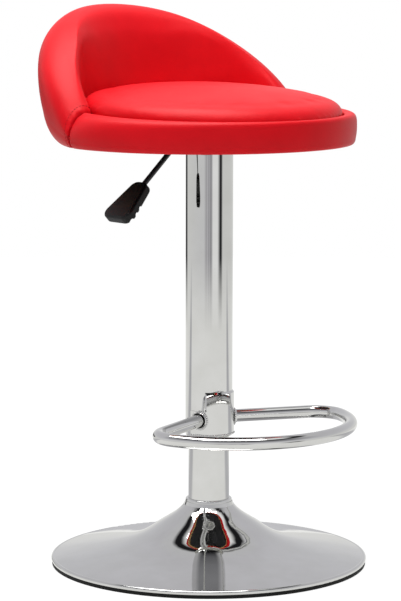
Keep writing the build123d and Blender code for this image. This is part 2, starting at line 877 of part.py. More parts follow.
def rounded(start, corner_from, end, power=1.0, tuck=0.0):
    """The middle of a quarter round from start, which leaves along its corner, to end.

    A power below 1 fills the corner more, and tuck draws the curve in towards the straight line.
    """
    centre = (start[0] + end[0] - corner_from[0], start[1] + end[1] - corner_from[1])
    round_middle = mix(centre, corner_from, sqrt(0.5) ** power)
    return mix(round_middle, mix(start, end, 0.5), tuck)


def roll_middle(before, start, crest):
    """The middle of the roll from start, which it leaves in line with before, up to a level crest."""
    run = (start[0] - before[0], start[1] - before[1])
    rise = 0.8 * (crest[1] - start[1]) / hypot(run[0], run[1])
    leave = (start[0] + run[0] * rise, start[1] + run[1] * rise)
    arrive = (mix(crest[0], start[0], 0.62), crest[1])
    return mix(mix(start, crest, 0.5), mix(leave, arrive, 0.5), 0.75)


def set_out(section, angle):
    """A key section with its reaches from the pad's bed turned into radii from the seat's centre."""
    bed = bed_reach(angle)
    points = {name: (bed + section[name][0], section[name][1]) for name in ("crest", "bulge", "foot")}
    return section | points | {"under": bed + section["under"]}


def above_board(point):
    return (point[0], point[1] + board_top)


def upright_section(angle, first, second, share, wall, drawn_crest=None):
    """One upright section of the upholstery, angle degrees from the rear, mixed from two key sections.

    wall is the radius of the round wall that the skirt hangs outside of.
    """
    key = {name: mix(first[name], second[name], share) for name in first}
    bed = bed_reach(angle)
    board_shift = seat_back_shift - board_back_shift
    crest = above_board((drawn_crest or key["crest"][0], key["crest"][1]))
    face = above_board((bed + key["face"][0], key["face"][1]))
    bulge = above_board(key["bulge"])
    foot = above_board(key["foot"])
    bed_top = above_board((bed, key["bed_rise"]))
    bed_foot = (bed, board_top)
    shelf = min(bed, reach_of_circle(board_radius, board_shift, angle)) - shelf_overlap
    under = (max(key["under"], reach_of_circle(wall, board_shift, angle) + under_ledge), skirt_foot)
    out = radial_plane(seat_centre, angle).z_dir
    with BuildSketch(Plane(origin=seat_centre, x_dir=out, z_dir=out.cross(Vector(0, 0, 1)))) as section:
        with BuildLine():
            Line((shelf, skirt_foot), (shelf, board_top))
            Line((shelf, board_top), bed_foot)
            Line(bed_foot, bed_top)
            ThreePointArc(bed_top, full_arc(bed_top, face, -face_fullness), face)
            ThreePointArc(face, roll_middle(bed_top, face, crest), crest)
            ThreePointArc(crest, rounded(crest, (bulge[0], crest[1]), bulge, shoulder_power), bulge)
            ThreePointArc(bulge, full_arc(bulge, foot, -face_fullness), foot)
            ThreePointArc(foot, rounded(foot, (foot[0], under[1]), under, 1.0, key["tuck"]), under)
            Line(under, (shelf, skirt_foot))
        make_face()
    return section.sketch


def cut_seat_cavity():
    """Room for the seat board and what hangs below it."""
    with BuildSketch(Plane.XY.offset(skirt_foot - skirt_drop)) as cavity:
        with Locations((0, board_back_shift)):
            Circle(board_radius + seat_gap)
    extrude(cavity.sketch, amount=board_top + seat_gap - skirt_foot + skirt_drop, mode=Mode.SUBTRACT)


front_key = set_out(front_section, 180)
seam_key = set_out(seam_section, seam_angle)
rear_key = set_out(rear_section, 0)

back_reach = seam_angle - seam_gap_angle
frame_wall = frame_inner + frame_thickness + seat_gap
back_sections = []
for step in range(-back_steps, back_steps + 1):
    angle = back_reach * step / back_steps
    share = (1 - (angle / seam_angle) ** 2) ** crest_sweep
    crest_radius = mix(seam_key["crest"][0], rear_key["crest"][0], share**crest_power)
    crest_radius -= crest_draw * sin(radians(180 * share))
    back_sections.append(upright_section(angle, seam_key, rear_key, share, frame_wall, crest_radius))

band_reach = 180 - seam_angle
band_sections = []
for step in range(-band_steps, band_steps + 1):
    angle = band_reach * step / band_steps
    share = (step / band_steps) ** 2
    band_sections.append(upright_section(angle + 180, front_key, seam_key, share, board_radius))

with BuildPart() as back_cushion:
    loft(back_sections)
    cut_seat_cavity()
    add(bent_panel(seat_gap), mode=Mode.SUBTRACT)
save(back_cushion, "back_cushion")

with BuildPart() as front_band:
    loft(band_sections)
    cut_seat_cavity()
save(front_band, "front_band")

pad_tilt = radians(pad_slope)
pad_origin = Vector(0, -pad_forward_shift, board_top + pad_crease_above_board)
pad_up = Vector(0, -sin(pad_tilt), cos(pad_tilt))
pad_profile = Plane(origin=pad_origin, x_dir=(1, 0, 0), z_dir=Vector(1, 0, 0).cross(pad_up))

with BuildPart() as seat_pad:
    with BuildSketch(pad_profile):
        with BuildLine():
            side_foot = (pad_foot_radius, -pad_depth)
            side_top = (pad_radius, 0)
            shoulder_top = (pad_radius - pad_shoulder_width, pad_shoulder)
            crown_top = (0, pad_crown)
            crown_rise = pad_crown - pad_shoulder
            crown_radius = (shoulder_top[0] ** 2 + crown_rise**2) / (2 * crown_rise)
            half_way = shoulder_top[0] / 2
            crown_middle = (half_way, pad_crown - crown_radius + sqrt(crown_radius**2 - half_way**2))
            Line((0, -pad_depth), side_foot)
            ThreePointArc(side_foot, full_arc(side_foot, side_top, face_fullness), side_top)
            shoulder_corner = (side_top[0], shoulder_top[1])
            ThreePointArc(side_top, rounded(side_top, shoulder_corner, shoulder_top), shoulder_top)
            ThreePointArc(shoulder_top, crown_middle, crown_top)
            Line(crown_top, (0, -pad_depth))
        make_face()
    revolve(axis=Axis(pad_origin, pad_up))
    split(bisect_by=Plane.XY.offset(board_top + seat_gap), keep=Keep.TOP)
save(seat_pad, "seat_pad")
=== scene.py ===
import json
from math import atan2, cos, degrees, exp, hypot, pi, radians, sin, sqrt, tan

import bmesh
import bpy
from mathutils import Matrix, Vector, noise
from mathutils.bvhtree import BVHTree


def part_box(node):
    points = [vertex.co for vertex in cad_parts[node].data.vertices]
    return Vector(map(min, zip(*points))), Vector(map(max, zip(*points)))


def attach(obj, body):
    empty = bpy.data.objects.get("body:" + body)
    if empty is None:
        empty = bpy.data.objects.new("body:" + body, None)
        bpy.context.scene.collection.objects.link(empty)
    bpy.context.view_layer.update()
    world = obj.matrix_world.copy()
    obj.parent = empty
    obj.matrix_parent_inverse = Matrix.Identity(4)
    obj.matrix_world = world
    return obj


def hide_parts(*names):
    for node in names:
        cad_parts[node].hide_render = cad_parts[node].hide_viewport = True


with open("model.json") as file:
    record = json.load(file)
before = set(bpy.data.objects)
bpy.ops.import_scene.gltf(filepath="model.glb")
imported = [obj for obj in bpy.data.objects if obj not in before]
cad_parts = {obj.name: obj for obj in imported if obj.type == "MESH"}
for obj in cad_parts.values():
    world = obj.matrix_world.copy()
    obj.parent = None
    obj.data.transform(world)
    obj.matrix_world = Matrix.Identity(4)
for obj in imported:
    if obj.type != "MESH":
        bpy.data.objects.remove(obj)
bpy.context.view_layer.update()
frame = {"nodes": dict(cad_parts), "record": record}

MM = 0.001

# Seat, in millimetres: the solids' sizes, but with a rounder shoulder at the seams
SEAT_CENTRE_Y = 15.0
BOARD_CENTRE_Y = 8.0
PAD_CENTRE_Y = -6.0
BOARD_TOP = 557.3
SKIRT_FOOT = 528.3
BOARD_RADIUS = 166.0
FRAME_THICKNESS = 8.0
SEAT_GAP = 0.3
SEAM_ANGLE = 83.0
PAD_BED = 161.8
CREST_POWER = 6.0
CREST_DRAW = 15.0
CREST_SWEEP = 0.9
SHOULDER_POWER = 0.7
SEAM_SHOULDER_POWER = 1.2
UNDER_LEDGE = 1.5

# Upright sections: radii from the seat's own centre, heights above the top of the board
FRONT_SECTION = {
    "crest": (186.5, 9.0),
    "face": (0.4, 5.5),
    "bulge": (193.4, -1.0),
    "foot": (192.0, -22.5),
    "under": 187.5,
    "tuck": 0.0,
    "bed_rise": 2.5,
}
SEAM_SECTION = {
    "crest": (168.0, 14.0),
    "face": (-1.0, 6.5),
    "bulge": (191.5, -16.0),
    "foot": (190.5, -20.0),
    "under": 184.0,
    "tuck": 0.1,
    "bed_rise": 3.0,
}
REAR_SECTION = {
    "crest": (187.0, 139.0),
    "face": (4.0, 78.0),
    "bulge": (209.5, 96.0),
    "foot": (201.0, 30.0),
    "under": 164.0,
    "tuck": 0.45,
    "bed_rise": 24.0,
}

# Pad
PAD_RADIUS = 161.0
PAD_FOOT_RADIUS = 157.0
PAD_CREASE_ABOVE_BOARD = 15.0
PAD_CROWN = 28.0
PAD_SHOULDER = 16.8
PAD_SHOULDER_WIDTH = 27.0
PAD_SLOPE = 2.7
PAD_TUCK = 12.0
PAD_CROWN_RINGS = 26

# Simulated covers: mesh size, frames, and how near a cover is held to what it lies on
COVER_VOXEL = 4.5
SWELL_FRAMES = 16
HELD_MARGIN = 2.0
HELD_BED_HEIGHT = 30.0
HELD_FRAME_ROOM = 12.0
HELD_CREASE = 3.0

# Sewing
STITCH_PITCH = 4.2
STITCH_LENGTH = 3.2
THREAD_RADIUS = 0.45
STITCH_TO_SEAM = 7.0
SEAM_DEPTH = 1.2
SEAM_REACH = 1.8
PUCKER_DEPTH = 1.1
PUCKER_REACH = 7.0
PUCKER_PITCH = 6.0

# Footrest: where its arms start, and the welds
ARM_ROOT_SIDE = 26.6
ARM_ROOT_FORWARD = 14.0
ARM_ANGLE = 23.0
ARM_WELD_RADIUS = 11.0
WELD_PITCH = 2.6
WELD_LENGTH = 3.4
WELD_RADIUS = 1.3

# The part of an upright section's outline that shows, as places in its list of points
FACE_START = 12
FOOT_END = 64

# Camera, from the photograph's foot, column and seat
CAMERA_TURN = -40.0
CAMERA_DISTANCE = 3.300
CAMERA_HEIGHT = 0.7851
CAMERA_DROP = 7.82
CAMERA_ROLL = -0.12
FOCAL_PIXELS = 2669.9
FRAME_PIXELS = 601
CENTRE_SHIFT_PIXELS = 9.4
SENSOR_WIDTH = 36.0


def linear(hex_colour):
    """An sRGB hex colour as linear red, green, blue and alpha."""
    parts = [int(hex_colour[i:i + 2], 16) / 255 for i in (0, 2, 4)]
    return tuple(c / 12.92 if c <= 0.04045 else ((c + 0.055) / 1.055) ** 2.4 for c in parts) + (1.0,)


def add_node(tree, kind, settings=None, links=None):
    """Adds a node. A setting is an input's value or else a property; a link joins an input to an output."""
    node = tree.nodes.new(kind)
    for name, value in (settings or {}).items():
        if isinstance(name, int) or name in node.inputs:
            node.inputs[name].default_value = value
        else:
            setattr(node, name, value)
    for name, output in (links or {}).items():
        tree.links.new(output, node.inputs[name])
    return node


def new_finish(name, settings):
    """A material with one Principled shader, and its tree, shader and Object coordinates."""
    material = bpy.data.materials.new(name)
    material.use_nodes = True
    tree = material.node_tree
    tree.nodes.clear()
    shader = add_node(tree, "ShaderNodeBsdfPrincipled", settings)
    add_node(tree, "ShaderNodeOutputMaterial", links={"Surface": shader.outputs["BSDF"]})
    place = add_node(tree, "ShaderNodeTexCoord").outputs["Object"]
    return material, tree, shader, place


def ramp(tree, value, stops):
    """A colour ramp over value, from (position, hex colour) stops."""
    node = add_node(tree, "ShaderNodeValToRGB", links={"Fac": value})
    elements = node.color_ramp.elements
    while len(elements) < len(stops):
        elements.new(0.5)
    for element, (position, colour) in zip(elements, stops):
        element.position = position
        element.color = linear(colour)
    return node.outputs["Color"]


def mottled(name, settings, grain_mm, dark, light, bump, rough_low, rough_high):
    """A finish whose colour, roughness and surface vary softly over grains of a real size."""
    material, tree, shader, place = new_finish(name, settings)
    grain = add_node(
        tree,
        "ShaderNodeTexNoise",
        {"Scale": 1 / (grain_mm * MM), "Detail": 5.0, "Roughness": 0.6},
        {"Vector": place},
    ).outputs["Fac"]
    tree.links.new(ramp(tree, grain, [(0.3, dark), (0.7, light)]), shader.inputs["Base Color"])
    rough = add_node(
        tree,
        "ShaderNodeMapRange",
        {"To Min": rough_low, "To Max": rough_high},
        {"Value": grain},
    ).outputs["Result"]
    tree.links.new(rough, shader.inputs["Roughness"])
    relief = add_node(
        tree,
        "ShaderNodeBump",
        {"Strength": bump, "Distance": grain_mm * MM * 0.3},
        {"Height": grain},
    ).outputs["Normal"]
    tree.links.new(relief, shader.inputs["Normal"])
    return material


# Bright chrome over polished steel: a mirror with a faint haze, and slow waves left by the polishing wheel
def make_chrome(name, wave_mm, wave_strength):
    material, tree, shader, place = new_finish(name, {"Metallic": 1.0})
    haze = add_node(
        tree, "ShaderNodeTexNoise", {"Scale": 1 / (35 * MM), "Detail": 4.0}, {"Vector": place}
    ).outputs["Fac"]
    rough = add_node(
        tree, "ShaderNodeMapRange", {"To Min": 0.015, "To Max": 0.05}, {"Value": haze}
    ).outputs["Result"]
    tree.links.new(rough, shader.inputs["Roughness"])
    tree.links.new(ramp(tree, haze, [(0.3, "cfcfcd"), (0.7, "d6d6d5")]), shader.inputs["Base Color"])
    wave = add_node(
        tree, "ShaderNodeTexNoise", {"Scale": 1 / (wave_mm * MM), "Detail": 1.0}, {"Vector": place}
    ).outputs["Fac"]
    relief = add_node(
        tree, "ShaderNodeBump", {"Strength": wave_strength, "Distance": 0.4 * MM}, {"Height": wave}
    ).outputs["Normal"]
    tree.links.new(relief, shader.inputs["Normal"])
    return material


# Coated leatherette: an even red skin with a fine pebble grain and a soft, broad sheen
def make_leatherette():
    material, tree, shader, place = new_finish(
        "red_leatherette",
        {"IOR": 1.5, "Specular IOR Level": 0.34, "Specular Tint": linear("ffb4b4")},
    )
    # Grain cells of about 1 mm are drawn at 1.8 mm, because finer ones don't show at this distance
    grain = add_node(
        tree,
        "ShaderNodeTexVoronoi",
        {"Scale": 1 / (1.8 * MM), "feature": "SMOOTH_F1", "Smoothness": 0.6, "Randomness": 1.0},
        {"Vector": place},
    ).outputs["Distance"]
    cloud = add_node(
        tree, "ShaderNodeTexNoise", {"Scale": 1 / (45 * MM), "Detail": 3.0}, {"Vector": place}
    ).outputs["Fac"]
    tone = ramp(tree, cloud, [(0.3, "cb0614"), (0.7, "d60a18")])
    pore = add_node(
        tree, "ShaderNodeMapRange", {"From Min": 0.25, "From Max": 0.75, "To Max": 0.08}, {"Value": grain}
    ).outputs["Result"]
    colour = add_node(
        tree, "ShaderNodeMix", {"data_type": "RGBA", 7: linear("a90f18")}, {0: pore, 6: tone}
    ).outputs[2]
    tree.links.new(colour, shader.inputs["Base Color"])
    rough = add_node(
        tree, "ShaderNodeMapRange", {"To Min": 0.42, "To Max": 0.52}, {"Value": cloud}
    ).outputs["Result"]
    tree.links.new(rough, shader.inputs["Roughness"])
    relief = add_node(
        tree, "ShaderNodeBump", {"Strength": 0.22, "Distance": 0.25 * MM}, {"Height": grain}
    ).outputs["Normal"]
    tree.links.new(relief, shader.inputs["Normal"])
    return material


# Birch plywood: pale face veneer with long grain, seen only from below
def make_plywood():
    material, tree, shader, place = new_finish("birch_plywood", {"IOR": 1.5})
    stretched = add_node(
        tree, "ShaderNodeMapping", {"Scale": (1 / (4 * MM), 1 / (70 * MM), 1 / (2.4 * MM))}, {"Vector": place}
    ).outputs["Vector"]
    grain = add_node(
        tree, "ShaderNodeTexNoise", {"Scale": 1.0, "Detail": 6.0, "Distortion": 0.6}, {"Vector": stretched}
    ).outputs["Fac"]
    tree.links.new(
        ramp(tree, grain, [(0.25, "a5814f"), (0.5, "c6a26c"), (0.8, "d8ba88")]), shader.inputs["Base Color"]
    )
    rough = add_node(
        tree, "ShaderNodeMapRange", {"To Min": 0.55, "To Max": 0.75}, {"Value": grain}
    ).outputs["Result"]
    tree.links.new(rough, shader.inputs["Roughness"])
    relief = add_node(
        tree, "ShaderNodeBump", {"Strength": 0.25, "Distance": 0.3 * MM}, {"Height": grain}
    ).outputs["Normal"]
    tree.links.new(relief, shader.inputs["Normal"])
    return material


leatherette = make_leatherette()
finishes = {
    "chrome_plate": make_chrome("polished_chrome_plate", 60, 0.05),
    # Turned and rolled mild steel: grey, with a fine directional haze
    "plain_steel": mottled("bright_mild_steel", {"Metallic": 1.0}, 3, "9a9b9d", "b4b5b6", 0.05, 0.22, 0.38),
    # Satin black stove enamel on pressed steel: slight orange peel
    "black_steel": mottled("satin_black_enamel", {"IOR": 1.5}, 2.5, "161618", "202022", 0.12, 0.32, 0.45),
    # Raw grey iron: dark and sandy
    "cast_weight": mottled("raw_cast_iron", {"Metallic": 0.6}, 2, "2b2b2d", "454547", 0.5, 0.55, 0.8),
    # Stamped brass strip
    "brass_cage": mottled("stamped_brass", {"Metallic": 1.0}, 3, "b0904a", "c9aa63", 0.05, 0.25, 0.4),
    # Moulded nylon: milky, waxy and dull
    "white_nylon": mottled("moulded_nylon", {"IOR": 1.53}, 6, "d5d4ca", "e1e0d8", 0.05, 0.38, 0.5),
    # Moulded ABS with a fine spark-eroded texture
    "black_plastic": mottled(
        "moulded_black_abs",
        {"IOR": 1.54, "Specular IOR Level": 0.22},
        1.6,
        "060607",
        "0a090b",
        0.12,
        0.36,
        0.46,
    ),
    # Cured black rubber: matt and slightly dusty
    "black_rubber": mottled(
        "black_rubber", {"IOR": 1.52, "Specular IOR Level": 0.25}, 2.5, "060606", "0c0c0c", 0.2, 0.6, 0.8
    ),
    "plywood": make_plywood(),
    # Non-woven lining: thin, dull, with tangled fibres
    "black_lining": mottled("nonwoven_lining", {"IOR": 1.45}, 1.5, "161617", "29292b", 0.5, 0.85, 0.98),
    "red_leather": leatherette,
}
# Weld beads under the plating: the same chrome, rippled every few millimetres
welded_chrome = make_chrome("chrome_over_weld_beads", 5, 1.0)
# Spun polyester thread: a dull red, a little darker than the cover
thread = mottled(
    "polyester_thread",
    {"IOR": 1.5, "Specular IOR Level": 0.2},
    0.6,
    "a5131b",
    "b81a22",
    0.3,
    0.5,
    0.65,
)

for entry in frame["record"]["subparts"]:
    solid = frame["nodes"][entry["node"]]
    solid.data.materials.clear()
    solid.data.materials.append(finishes[entry["material_slot"]])
frame["nodes"]["footrest_ferrules"].data.materials[0] = welded_chrome


def mix(first, second, share):
    if isinstance(first, tuple):
        return tuple(a + (b - a) * share for a, b in zip(first, second))
    return first + (second - first) * share


def reach_of_circle(radius, centre_y, angle):
    """How far a circle about (0, centre_y) is from the seat's centre, angle degrees from the rear."""
    ahead = (centre_y - SEAT_CENTRE_Y) * cos(radians(angle))
    aside = (centre_y - SEAT_CENTRE_Y) * sin(radians(angle))
    return sqrt(radius**2 - aside**2) + ahead


def straight(start, end, count):
    return [mix(start, end, i / count) for i in range(count)]


def swollen(start, end, fullness, count):
    """Points on a shallow curve from start to end that swells to the left of the way."""
    across = ((start[1] - end[1]) * fullness, (end[0] - start[0]) * fullness)
    points = []
    for i in range(count):
        share = i / count
        swell = 4 * share * (1 - share)
        point = mix(start, end, share)
        points.append((point[0] + across[0] * swell, point[1] + across[1] * swell))
    return points


def quarter(start, corner, end, count, power=1.0, tuck=0.0):
    """Points on a quarter ellipse from start to end, tangent to the lines through corner.

    A power below 1 fills the corner more, and tuck draws the curve in towards the straight line.
    """
    points = []
    for i in range(count):
        turn = pi / 2 * i / count
        leave = 1 - sin(turn) ** power
        arrive = 1 - cos(turn) ** power
        point = tuple(
            corner[k] + (start[k] - corner[k]) * leave + (end[k] - corner[k]) * arrive for k in (0, 1)
        )
        points.append(mix(point, mix(start, end, i / count), tuck))
    return points


def rolled(before, start, crest, count):
    """Points on the roll from start, which it leaves in line with before, up to a level crest."""
    run = ((start[0] - before[0]), (start[1] - before[1]))
    length = max(hypot(*run), 1e-6)
    rise = (crest[1] - start[1]) * 0.8
    leave = (start[0] + run[0] / length * rise, start[1] + run[1] / length * rise)
    arrive = (crest[0] - (crest[0] - start[0]) * 0.62, crest[1])
    points = []
    for i in range(count):
        share = i / count
        near = mix(mix(start, leave, share), mix(leave, arrive, share), share)
        far = mix(mix(leave, arrive, share), mix(arrive, crest, share), share)
        points.append(mix(near, far, share))
    return points


def cover_section(angle, first, second, share, wall, shoulder_power, crest_power=1):
    """The outline of the upholstery at an angle from the rear, as (radius, height) pairs.

    wall is the radius of the round wall that the skirt hangs outside of. A higher shoulder_power makes the
    shoulder rounder, as it is at the seams.
    """
    key = {name: mix(first[name], second[name], share) for name in first}
    crest, face, bulge, foot = (
        (key[name][0], key[name][1] + BOARD_TOP) for name in ("crest", "face", "bulge", "foot")
    )
    bed = reach_of_circle(PAD_BED, PAD_CENTRE_Y, angle)
    face = (bed + face[0], face[1])
    if crest_power > 1:
        drawn = CREST_DRAW * sin(pi * share**2)
        crest = (mix(first["crest"][0], second["crest"][0], share**crest_power) - drawn, crest[1])
    skirt = reach_of_circle(wall, BOARD_CENTRE_Y, angle)
    floor = BOARD_TOP + SEAT_GAP
    bed_foot = (bed, floor)
    bed_top = (bed, BOARD_TOP + key["bed_rise"])
    under = (max(key["under"], skirt + UNDER_LEDGE), SKIRT_FOOT)
    skirt_foot = (skirt, SKIRT_FOOT)
    skirt_top = (skirt, floor)
    return (
        straight(bed_foot, bed_top, 4)
        + straight(bed_top, face, 8)
        + rolled(bed_top, face, crest, 18)
        + quarter(crest, (bulge[0], crest[1]), bulge, 14, shoulder_power)
        + swollen(bulge, foot, 0.03, 12)
        + quarter(foot, (foot[0], under[1]), under, 10, 1.0, key["tuck"])
        + straight(under, skirt_foot, 3)
        + straight(skirt_foot, skirt_top, 6)
        + straight(skirt_top, bed_foot, 4)
    )


def spaced_angles(reach, coarse, end_steps):
    """Angles from -reach to reach, a coarse step apart but closer together near both ends."""
    near = [reach - step for step in end_steps]
    middle = near[-1]
    count = max(2, round(2 * middle / coarse))
    inside = [-middle + 2 * middle * i / count for i in range(1, count)]
    return [-angle for angle in near] + inside + near[::-1]


def placed(angle, outline):
    """An outline turned to its angle about the seat's centre, in metres."""
    out = (sin(radians(angle)), cos(radians(angle)))
    return [
        Vector((r * out[0], r * out[1] + SEAT_CENTRE_Y, z)) * MM
        for r, z in outline
    ]


def mesh_object(name, mesh, material):
    piece = bpy.data.objects.new(name, mesh)
    bpy.context.scene.collection.objects.link(piece)
    mesh.materials.append(material)
    return piece


def lofted(name, rings, material):
    """A closed mesh through rings of points, with a face over each end ring."""
    shape = bmesh.new()
    rows = [[shape.verts.new(point) for point in ring] for ring in rings]
    size = len(rows[0])
    for row, after in zip(rows, rows[1:]):
        for i in range(size):
            shape.faces.new((row[i], row[(i + 1) % size], after[(i + 1) % size], after[i]))
    shape.faces.new(rows[0])
    shape.faces.new(rows[-1])
    bmesh.ops.recalc_face_normals(shape, faces=shape.faces)
    for face in shape.faces:
        face.smooth = True
    mesh = bpy.data.meshes.new(name)
    shape.to_mesh(mesh)
    shape.free()
    return mesh_object(name, mesh, material)


def apply_modifiers(piece):
    """Turns a piece's modifiers into its mesh."""
    graph = bpy.context.evaluated_depsgraph_get()
    mesh = bpy.data.meshes.new_from_object(piece.evaluated_get(graph))
    piece.modifiers.clear()
    old, piece.data = piece.data, mesh
    bpy.data.meshes.remove(old)
    mesh.name = piece.name


def even_out(piece):
    """Gives a piece an even mesh, with its points back on the form that they came from."""
    graph = bpy.context.evaluated_depsgraph_get()
    form = BVHTree.FromObject(piece, graph)
    remesh = piece.modifiers.new("even_mesh", "REMESH")
    remesh.mode = "VOXEL"
    remesh.voxel_size = COVER_VOXEL * MM
    apply_modifiers(piece)
    for vertex in piece.data.vertices:
        vertex.co = form.find_nearest(vertex.co)[0]


def spread(piece, moves, rounds):
    """Shares each point's move with its neighbours, so that only the broad swelling is left."""
    neighbours = [[] for _ in moves]
    for edge in piece.data.edges:
        first, second = edge.vertices
        neighbours[first].append(second)
        neighbours[second].append(first)
    for _ in range(rounds):
        moves = [
            move / 2 + sum((moves[i] for i in around), Vector()) / (2 * len(around))
            for move, around in zip(moves, neighbours)
        ]
    return moves


def swell(piece, held, slack, pressure, cap, rounds):
    """Blows up a cover over its filling, with cloth simulation.

    held says how firmly a point of the cover is fixed, from 0 to 1. The cover starts slack inside its form,
    and no point ends further than cap from it.
    """
    form = [vertex.co.copy() for vertex in piece.data.vertices]
    firm = [held(co / MM) for co in form]
    group = piece.vertex_groups.new(name="held")
    for vertex, weight in zip(piece.data.vertices, firm):
        vertex.co -= vertex.normal * (slack * MM * (1 - weight))
        group.add([vertex.index], weight, "REPLACE")
    cloth = piece.modifiers.new("cover", "CLOTH").settings
    cloth.vertex_group_mass = group.name
    cloth.use_pressure = True
    cloth.uniform_pressure_force = pressure
    cloth.effector_weights.gravity = 0.0
    for step in range(1, SWELL_FRAMES + 1):
        bpy.context.scene.frame_set(step)
    apply_modifiers(piece)
    bpy.context.scene.frame_set(1)
    moves = [vertex.co - start for vertex, start in zip(piece.data.vertices, form)]
    for vertex, start, move in zip(piece.data.vertices, form, spread(piece, moves, rounds)):
        vertex.co = start + move * min(1, cap * MM / max(move.length, 1e-9))
    piece.vertex_groups.clear()
    finer = piece.modifiers.new("finer", "SUBSURF")
    finer.levels = finer.render_levels = 1
    apply_modifiers(piece)
    for face in piece.data.polygons:
        face.use_smooth = True


END_STEPS = (0.0, 0.25, 0.6, 1.0, 1.5, 2.0, 2.6, 3.2, 4.0, 5.0, 6.2)
BACK_REACH = SEAM_ANGLE - 0.05
BAND_REACH = 180 - SEAM_ANGLE - 0.15


def back_outline(angle):
    share = (1 - (angle / SEAM_ANGLE) ** 2) ** CREST_SWEEP
    wall = BOARD_RADIUS + FRAME_THICKNESS + 3 * SEAT_GAP
    shoulder = mix(SHOULDER_POWER, SEAM_SHOULDER_POWER, (1 - share) ** 2)
    return cover_section(angle, SEAM_SECTION, REAR_SECTION, share, wall, shoulder, CREST_POWER)


def band_outline(angle):
    share = (angle / (180 - SEAM_ANGLE)) ** 2
    wall = BOARD_RADIUS + SEAT_GAP
    shoulder = mix(SHOULDER_POWER, SEAM_SHOULDER_POWER, share**3)
    return cover_section(angle + 180, FRONT_SECTION, SEAM_SECTION, share, wall, shoulder)


back = lofted(
    "back_upholstery",
    [placed(angle, back_outline(angle)) for angle in spaced_angles(BACK_REACH, 1.6, END_STEPS)],
    leatherette,
)
band = lofted(
    "band_upholstery",
    [placed(angle + 180, band_outline(angle)) for angle in spaced_angles(BAND_REACH, 1.6, END_STEPS)],
    leatherette,
)


def pad_outline():
    """The pad's profile from the middle of its top to the middle of its foot, as (radius, height) pairs."""
    shoulder = (PAD_RADIUS - PAD_SHOULDER_WIDTH, PAD_SHOULDER)
    side = (PAD_RADIUS, 0.0)
    foot = (PAD_FOOT_RADIUS, -PAD_CREASE_ABOVE_BOARD - PAD_TUCK)
    crown = []
    for i in range(1, PAD_CROWN_RINGS):
        share = i / PAD_CROWN_RINGS
        crown.append((shoulder[0] * share, PAD_CROWN + (PAD_SHOULDER - PAD_CROWN) * share**2))
    return (
        crown
        + quarter(shoulder, (side[0], shoulder[1]), side, 8)
        + straight(side, foot, 8)
        + [mix(foot, (0.0, foot[1]), share) for share in (0.0, 0.04, 0.3, 0.6, 0.85)]
    )


def make_pad():
    turns = 144
    tilt = radians(PAD_SLOPE)
    up = Vector((0, -sin(tilt), cos(tilt)))
    ahead = Vector((0, cos(tilt), sin(tilt)))
    origin = Vector((0, PAD_CENTRE_Y, BOARD_TOP + PAD_CREASE_ABOVE_BOARD))
    lowest = BOARD_TOP + SEAT_GAP
    shape = bmesh.new()
    rows = []
    for radius, height in pad_outline():
        row = []
        for i in range(turns):
            angle = 2 * pi * i / turns
            aside = Vector((1, 0, 0)) * radius * sin(angle)
            point = origin + aside + ahead * radius * cos(angle) + up * height
            point.z = max(point.z, lowest)
            row.append(shape.verts.new(point * MM))
        rows.append(row)
    for row, after in zip(rows, rows[1:]):
        for i in range(turns):
            shape.faces.new((row[i], row[(i + 1) % turns], after[(i + 1) % turns], after[i]))
    top = shape.verts.new((origin + up * PAD_CROWN) * MM)
    bottom = shape.verts.new(Vector((0, PAD_CENTRE_Y, lowest)) * MM)
    for i in range(turns):
        shape.faces.new((top, rows[0][(i + 1) % turns], rows[0][i]))
        shape.faces.new((bottom, rows[-1][i], rows[-1][(i + 1) % turns]))
    bmesh.ops.recalc_face_normals(shape, faces=shape.faces)
    for face in shape.faces:
        face.smooth = True
    mesh = bpy.data.meshes.new("pad_upholstery")
    shape.to_mesh(mesh)
    shape.free()
    return mesh_object("pad_upholstery", mesh, leatherette)


pad = make_pad()


def seam_distance(point):
    """How far a point of the seat is from the nearer seam between back and band, round the seat."""
    across = point.y - SEAT_CENTRE_Y
    angle = degrees(atan2(abs(point.x), across))
    return abs(radians(angle - SEAM_ANGLE)) * hypot(point.x, across)


def under_cover(point):
    """1 where the back or band lies against the board, the frame or the pad, or ends at a seam, else 0."""
    angle = degrees(atan2(point.x, point.y - SEAT_CENTRE_Y))
    radius = hypot(point.x, point.y - SEAT_CENTRE_Y)
    bed = reach_of_circle(PAD_BED, PAD_CENTRE_Y, angle)
    board = reach_of_circle(BOARD_RADIUS, BOARD_CENTRE_Y, angle)
    inside = radius < bed + HELD_MARGIN and point.z < BOARD_TOP + HELD_BED_HEIGHT
    below = point.z < SKIRT_FOOT + HELD_MARGIN
    behind = radius < board + HELD_FRAME_ROOM and point.z < BOARD_TOP + HELD_MARGIN
    return 1.0 if inside or below or behind or seam_distance(point) < COVER_VOXEL else 0.0


def under_pad(point):
    """1 on the pad's foot and below its crease, and 0 on its top."""
    crease = BOARD_TOP + PAD_CREASE_ABOVE_BOARD + (point.y - PAD_CENTRE_Y) * tan(radians(PAD_SLOPE))
    return 1.0 if point.z < crease + HELD_CREASE else 0.0


even_out(pad)
swell(pad, under_pad, slack=0.0, pressure=6.0, cap=1.2, rounds=5)
swell(back, under_cover, slack=0.5, pressure=3.0, cap=1.4, rounds=12)
swell(band, under_cover, slack=0.5, pressure=3.0, cap=1.2, rounds=8)


